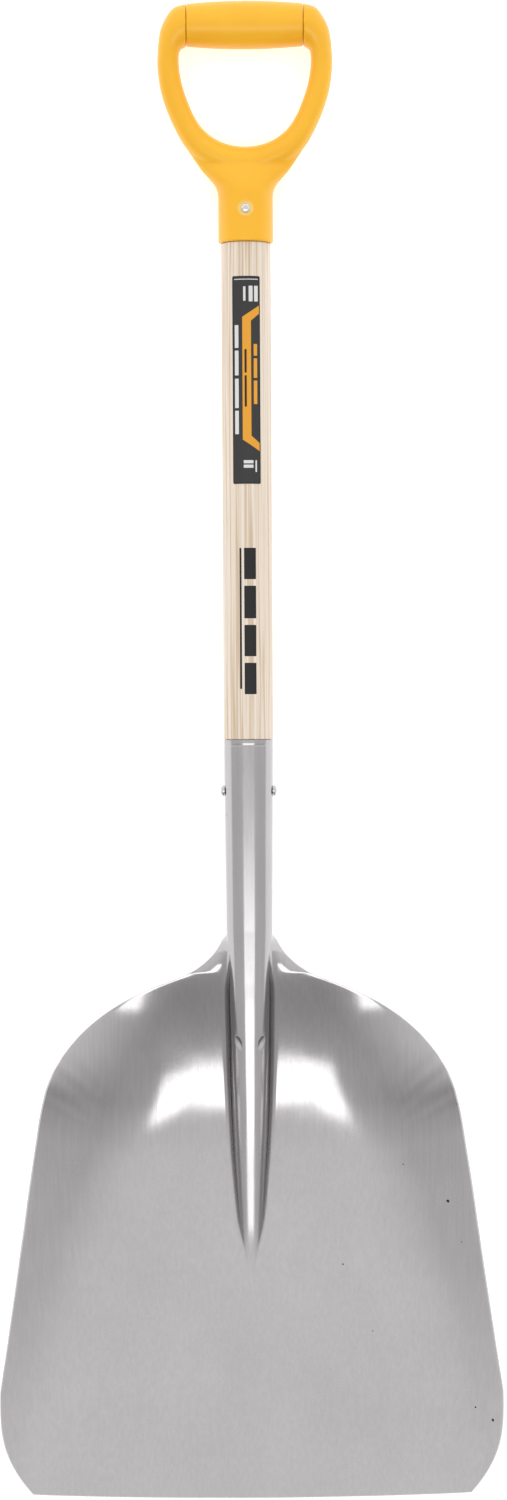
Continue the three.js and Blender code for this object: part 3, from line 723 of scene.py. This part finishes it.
def grip_ribs():
    """Inner point, outer point and half depth of the D's ribs, from one end of the bar round."""
    def rib(inner, inner_rise, outer, outer_rise, depth):
        return (inner * OPENING_HALF, OPENING_BASE + OPENING_HEIGHT * inner_rise,
                outer * ARM_REACH, OPENING_BASE + OPENING_HEIGHT * outer_rise, depth * MM)

    top = OPENING_BASE + OPENING_HEIGHT
    half = [
        (BAR_LIMIT, top, BAR_LIMIT, top + 2 * BAR_END_RADIUS, BAR_END_RADIUS),
        rib(0.975, 0.965, 0.83, 1.37, 15), rib(1, 0.9, 0.96, 1.18, 12.5),
        rib(0.996, 0.8, 1, 0.92, 11), rib(0.976, 0.7, 0.995, 0.72, 10.5),
        rib(0.917, 0.545, 0.945, 0.485, 10.5), rib(0.774, 0.31, 0.826, 0.215, 11),
        rib(0.598, 0.15, 0.66, -0.03, 12), rib(0.335, 0.04, 0.417, -0.2, 13),
        (0, OPENING_BASE, 0, OPENING_BASE - 24.5 * MM, 13 * MM),
    ]
    other = [(-a, b, -c, d, e) for a, b, c, d, e in half[-2::-1]]
    return catmull(half + other, 8)


def d_grip():
    sides = 56
    angle = (np.arange(sides) + 0.5) / sides * 2 * math.pi
    rings = []
    for inner_x, inner_z, outer_x, outer_z, depth in grip_ribs():
        centre = np.array([inner_x + outer_x, inner_z + outer_z]) / 2
        reach = np.array([outer_x - inner_x, outer_z - inner_z]) / 2
        # a touch fuller than an ellipse at the front and back
        fullness = np.sign(np.sin(angle)) * np.abs(np.sin(angle)) ** 0.9
        rings.append(np.column_stack([
            centre[0] + reach[0] * np.cos(angle),
            -depth * fullness,
            centre[1] + reach[1] * np.cos(angle) + GRIP_Z,
        ]))
    loop = lofted("d_grip_moulding", rings, AMBER)
    # height above the ferrule in millimetres, then width and depth as shares of its radius
    flare = catmull([
        (-2, 1, 1), (3, 1.03, 0.99), (8, 1.14, 0.94), (13, 1.34, 0.84),
        (18, 1.55, 0.72), (24, 1.76, 0.58), (30, 1.95, 0.46), (35.5, 2.13, 0.38),
    ], 4)
    stack = [(0, 1, 1)] + [(FERRULE_LENGTH / MM + rise, wide, deep) for rise, wide, deep in flare]
    rings = [np.column_stack([
        FERRULE_RADIUS * wide * np.cos(angle), FERRULE_RADIUS * deep * np.sin(angle),
        np.full(sides, GRIP_Z + rise * MM)]) for rise, wide, deep in stack]
    combined(loop, lofted("hub", rings, AMBER), "UNION")
    # remeshed and smoothed, so that the arms and the ferrule flow into each other
    modified(loop, "REMESH", mode="VOXEL", voxel_size=0.9 * MM)
    modified(loop, "SMOOTH", factor=0.5, iterations=14)
    core_half = BAR_LIMIT + CORE_END
    core = turned("core", [(0, -core_half), (CORE_RADIUS, -core_half), (CORE_RADIUS, core_half),
                           (0, core_half)], AMBER, 48)
    core.data.transform(Matrix.Translation((0, 0, GRIP_Z + bar_rise()))
                        @ Matrix.Rotation(math.pi / 2, 4, "Y"))
    combined(loop, core, "UNION")
    reach = 5 * MM
    bore = turned("bore", [(0, -reach), (BORE_RADIUS, -reach), (BORE_RADIUS, BORE_DEPTH),
                           (0, BORE_DEPTH)], AMBER)
    bore.data.transform(Matrix.Translation((0, 0, GRIP_Z)))
    combined(loop, bore, "DIFFERENCE")
    dish = turned("dish", rounded([(0, 0), (DISH_RADIUS - 0.5 * MM, 0), (DISH_RADIUS, reach),
                                   (0, reach)], 0.4 * MM), AMBER)
    dish.data.transform(facing(0, -(FERRULE_RADIUS - DISH_DEPTH), GRIP_SCREW_Z))
    combined(loop, dish, "DIFFERENCE")
    mesh = loop.data
    mesh.materials.clear()
    mesh.materials.append(AMBER)
    shade(loop, 40 * DEG)
    return finished(loop, "d_grip")


def bar_rise():
    return BAR_Z - GRIP_Z


def facing(x, y, z):
    """Turns +Z to point out from the shaft's axis through (x, y), and moves it there."""
    turn = Vector((0, 0, 1)).rotation_difference(Vector((x, y, 0)))
    return Matrix.Translation((x, y, z)) @ turn.to_matrix().to_4x4()


def hand_bar():
    rows = 24
    barrel = []
    for k in range(rows + 1):
        share = k / rows * 2 - 1
        barrel.append((mix(BAR_RADIUS, BAR_END_RADIUS, share**2), share * BAR_HALF))
    bore = CORE_RADIUS + GAP
    ends = rounded([(bore, -BAR_HALF), barrel[0], barrel[1]], 1.0 * MM, 5)[:-1]
    other = [(radius, -z) for radius, z in reversed(ends)]
    ring = [*ends, *barrel[1:-1], *other, (bore, -BAR_HALF)]
    segments = 128
    vertices, faces = [], []
    for radius, z in ring[:-1]:
        for k in range(segments):
            angle = 2 * math.pi * k / segments
            vertices.append((radius * math.cos(angle), radius * math.sin(angle), z))
    count = len(ring) - 1
    for row in range(count):
        a, b = row * segments, (row + 1) % count * segments
        for k in range(segments):
            following = (k + 1) % segments
            faces.append((a + k, a + following, b + following, b + k))
    piece = new_piece("hand_bar_sleeve", vertices, faces, AMBER)
    piece.data.transform(Matrix.Translation((0, 0, BAR_Z)) @ Matrix.Rotation(math.pi / 2, 4, "Y"))
    return finished(piece, "hand_bar")


# ---------------------------------------------------------------- label
def wrapped(name, outline_points, low, high, material):
    """A flat outline in (across, down) metres, wrapped round the shaft as a thin body."""
    shape = bmesh.new()
    corners = [shape.verts.new((u, v, 0)) for u, v in outline_points]
    shape.faces.new(corners)
    step = 0.8 * MM
    reach = max(abs(u) for u, _ in outline_points)
    for k in range(-int(reach / step), int(reach / step) + 1):
        everything = [*shape.verts, *shape.edges, *shape.faces]
        bmesh.ops.bisect_plane(shape, geom=everything, plane_co=(k * step, 0, 0),
                               plane_no=(1, 0, 0))
    bmesh.ops.recalc_face_normals(shape, faces=shape.faces)
    solid = bmesh.ops.extrude_face_region(shape, geom=shape.faces[:])
    raised = {v for v in solid["geom"] if isinstance(v, bmesh.types.BMVert)}
    for vertex in shape.verts:
        radius = high if vertex in raised else low
        angle = vertex.co.x / SHAFT_RADIUS
        z = LABEL_TOP - vertex.co.y
        vertex.co = (radius * math.sin(angle), -radius * math.cos(angle), z)
    bmesh.ops.recalc_face_normals(shape, faces=shape.faces)
    mesh = bpy.data.meshes.new(name)
    shape.to_mesh(mesh)
    shape.free()
    mesh.materials.append(material)
    piece = bpy.data.objects.new(name, mesh)
    bpy.context.scene.collection.objects.link(piece)
    shade(piece, 30 * DEG)
    return piece


def box_outline(left, top, right, bottom, corner):
    """A rectangle with rounded corners, in (across, down) metres."""
    points, steps = [], 5
    for cx, cy, start in ((right, top, -90), (right, bottom, 0),
                          (left, bottom, 90), (left, top, 180)):
        inward_x = corner if cx == left else -corner
        inward_y = corner if cy == top else -corner
        for k in range(steps + 1):
            angle = (start + 90 * k / steps) * DEG
            points.append((cx + inward_x + corner * math.cos(angle),
                           cy + inward_y + corner * math.sin(angle)))
    return points


def label():
    width = 11.0 * MM
    length = LABEL_LENGTH
    wood = SHAFT_RADIUS
    edge = wrapped("label_film", box_outline(-width, 0, width, length, 1.2 * MM),
                   wood + 0.02 * MM, wood + 0.22 * MM, FILM_EDGE)
    inset = 0.9 * MM
    face = box_outline(-width + inset, inset, width - inset, length - inset, 0.8 * MM)
    prints = [wrapped("label_face", face, wood + 0.1 * MM, wood + 0.25 * MM, FILM)]
    # an angular bracket down the middle with its two arms running out to the right edge
    left, right, far = -3.0 * MM, 3.6 * MM, width - inset
    top, bottom, slope, arm = 22.5 * MM, 134 * MM, 5.5 * MM, 6.2 * MM
    bracket = [(far, top), (far, top + arm), (right, top + arm + slope),
               (right, bottom - arm - slope), (far, bottom - arm), (far, bottom),
               (left, bottom - slope * 1.6), (left, top + slope * 1.6)]
    prints.append(wrapped("label_bracket", bracket, wood + 0.15 * MM, wood + 0.28 * MM,
                          PRINT_AMBER))
    # plain bars stand where the real label carries words: left, top, right and bottom, in
    # millimetres from the middle of the label's top edge
    bars = [(PRINT_LIGHT, [(-9.4, 2.2, 9.4, 2.8), (-2.2, 8, -0.4, 19), (2.0, 7.5, 5.0, 19.5),
                           (6.2, 7.5, 9.2, 19.5), (-9.0, 37.5, -6.0, 55), (-9.0, 57, -6.0, 76),
                           (-9.0, 78.5, -6.0, 101), (-9.0, 103, -6.0, 121),
                           (-2.4, 141, 5.0, 143.4), (-2.4, 144.4, 5.0, 146.8),
                           (6.6, 141, 7.8, 150)]),
            (PRINT_AMBER, [(5.6, 52, 8.4, 61), (5.6, 63, 8.4, 78), (5.6, 80, 8.4, 98)]),
            (PRINT_DARK, [(-1.4, 56, 0.2, 74), (-1.4, 76, 0.2, 100)])]
    number = 0
    for ink, places in bars:
        for a, b, c, d in places:
            number += 1
            bar = box_outline(a * MM, b * MM, c * MM, d * MM, 0.3 * MM)
            height = 0.34 * MM if ink is PRINT_DARK else 0.28 * MM
            prints.append(wrapped(f"label_bar_{number}", bar, wood + 0.15 * MM, wood + height, ink))
    finished(edge, "label")
    for piece in prints:
        finished(piece, None)
    # and plain blocks where the shaft carries its printed mark, measured the same way
    for number, (a, b, c, d) in enumerate([(-6.2, 208, -4.6, 316), (-2.6, 208, 6.6, 232),
                                           (-2.6, 237, 6.6, 262), (-2.6, 267, 6.6, 291),
                                           (-2.6, 296, 6.6, 320)], 1):
        block = box_outline(a * MM, b * MM, c * MM, d * MM, 0.5 * MM)
        finished(wrapped(f"shaft_block_{number}", block, wood - 0.1 * MM, wood + 0.03 * MM,
                         PRINT_DARK), None)


# ---------------------------------------------------------------- screws
def screw(name, node, material, place, head, height):
    """A pan-head screw with a cross recess; plain rings stand for its thread."""
    shank, core, plain_shank = SHANK_RADIUS, SHANK_RADIUS * 0.8, 1.2 * MM
    rows = 12
    dome = [(head * math.cos(k / rows * math.pi / 2),
             GAP + height * mix(HEAD_SKIRT, 1, math.sin(k / rows * math.pi / 2)))
            for k in range(rows)]
    thread = []
    pitch, turns = 1.25 * MM, 6
    for k in range(turns):
        z = -SCREW_LENGTH + SCREW_POINT + k * pitch
        thread += [(core, z + 0.35 * pitch), (shank, z + 0.6 * pitch), (core, z + 0.85 * pitch)]
    profile = [(0, -SCREW_LENGTH), (core, -SCREW_LENGTH + SCREW_POINT), *thread,
               (shank, -plain_shank), (shank, GAP), (head, GAP), *dome, (0, GAP + height)]
    piece = turned(name, profile, material, 64)
    reach, blade, depth, narrowed = head * 0.6, head * 0.115, height * 0.62, 0.45
    for turn in (0, 90):
        cutter = bmesh.new()
        bmesh.ops.create_cube(cutter, size=2)
        for vertex in cutter.verts:
            taper = 1.0 if vertex.co.z > 0 else narrowed
            vertex.co = (vertex.co.x * reach * taper, vertex.co.y * blade, vertex.co.z * depth)
        mesh = bpy.data.meshes.new("recess")
        cutter.to_mesh(mesh)
        cutter.free()
        mesh.transform(Matrix.Translation((0, 0, GAP + height))
                       @ Matrix.Rotation(turn * DEG, 4, "Z"))
        tool = bpy.data.objects.new("recess", mesh)
        bpy.context.scene.collection.objects.link(tool)
        combined(piece, tool, "DIFFERENCE")
    piece.data.transform(place)
    shade(piece, 35 * DEG)
    return finished(piece, node)


def screws():
    place = facing(0, -(FERRULE_RADIUS - DISH_DEPTH), GRIP_SCREW_Z)
    screw("grip_cross_screw", "grip_screw", BRIGHT_ZINC,
          place @ Matrix.Rotation(20 * DEG, 4, "Z"), GRIP_HEAD_RADIUS, GRIP_HEAD_HEIGHT)
    seat = tube_radius(RIM_AT - (RIM_Z - SOCKET_SCREW_Z))
    for side, turn in ((-1, 35), (1, 12)):
        name = "left" if side < 0 else "right"
        screw(f"socket_cross_screw_{name}", f"socket_screw_{name}", DULL_ZINC,
              facing(side * seat, 0, SOCKET_SCREW_Z) @ Matrix.Rotation(turn * DEG, 4, "Z"),
              SOCKET_HEAD_RADIUS, SOCKET_HEAD_HEIGHT)


scoop()
shaft()
d_grip()
hand_bar()
label()
screws()


# ---------------------------------------------------------------- floor, light and camera
def studio_floor():
    """A pale matt floor just under the shovel, which glows a little so that it stays pale."""
    reach, z = 40.0, -0.2 * MM
    mesh = bpy.data.meshes.new("floor")
    corners = [(-reach, -reach, z), (reach, -reach, z), (reach, reach, z), (-reach, reach, z)]
    mesh.from_pydata(corners, [], [(0, 1, 2, 3)])
    floor = bpy.data.objects.new("floor", mesh)
    bpy.context.scene.collection.objects.link(floor)
    look = Look("floor_paper").set(Base_Color=(0.93, 0.93, 0.93, 1), Roughness=0.9)
    look.set(Emission_Color=(1, 1, 1, 1), Emission_Strength=0.45)
    mesh.materials.append(look.material)


def studio_air():
    """Near-neutral light from all round, smoothly brighter towards the grip than towards the lip.

    The camera sees its background in one even tone.
    """
    world = bpy.data.worlds.new("studio")
    world.use_nodes = True
    bpy.context.scene.world = world
    nodes, links = world.node_tree.nodes, world.node_tree.links
    background = nodes["Background"]
    background.inputs["Color"].default_value = (1, 0.99, 0.99, 1)
    parts = nodes.new("ShaderNodeSeparateXYZ")
    links.new(nodes.new("ShaderNodeTexCoord").outputs["Generated"], parts.inputs["Vector"])
    falloff = nodes.new("ShaderNodeMapRange")
    falloff.interpolation_type = "SMOOTHSTEP"
    dim, bright = 0.46, 1.15
    for key, number in zip(("From Min", "From Max", "To Min", "To Max"), (-0.9, 0.7, dim, bright)):
        falloff.inputs[key].default_value = number
    links.new(parts.outputs["Y"], falloff.inputs["Value"])
    seen = nodes.new("ShaderNodeMix")
    seen.inputs["B"].default_value = 1.0
    links.new(nodes.new("ShaderNodeLightPath").outputs["Is Camera Ray"], seen.inputs["Factor"])
    links.new(falloff.outputs["Result"], seen.inputs["A"])
    links.new(seen.outputs["Result"], background.inputs["Strength"])


def soft_box(name, place, target, width, height, power):
    """A white rectangular lamp that lights and reflects, and is itself out of the picture."""
    light = bpy.data.lights.new(name, "AREA")
    light.shape = "RECTANGLE"
    light.size, light.size_y = width, height
    light.energy = power
    lamp = bpy.data.objects.new(name, light)
    lamp.location = place
    lamp.rotation_mode = "QUATERNION"
    aim = Vector(target) - Vector(place)
    lamp.rotation_quaternion = aim.to_track_quat("-Z", "Y")
    lamp.visible_camera = False
    bpy.context.scene.collection.objects.link(lamp)


def camera():
    """Straight above the shovel, a little to the right of its middle and turned a touch."""
    height, from_lip, aside, turn = 3.2, 558.7 * MM, 3.85 * MM, -0.31 * DEG
    data = bpy.data.cameras.new("camera")
    data.sensor_width = 36
    data.lens = 99.8
    eye = bpy.data.objects.new("camera", data)
    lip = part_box("scoop")[0].y
    eye.location = (aside, lip + from_lip, AXIS_HEIGHT + height)
    eye.rotation_euler = (0, 0, turn)
    bpy.context.scene.collection.objects.link(eye)
    bpy.context.scene.camera = eye


studio_floor()
studio_air()
soft_box("front", place=(0, -0.68, 2.5), target=(0, -0.2, 0), width=2.6, height=0.85, power=15)
camera()
bpy.context.scene.view_settings.view_transform = "Standard"
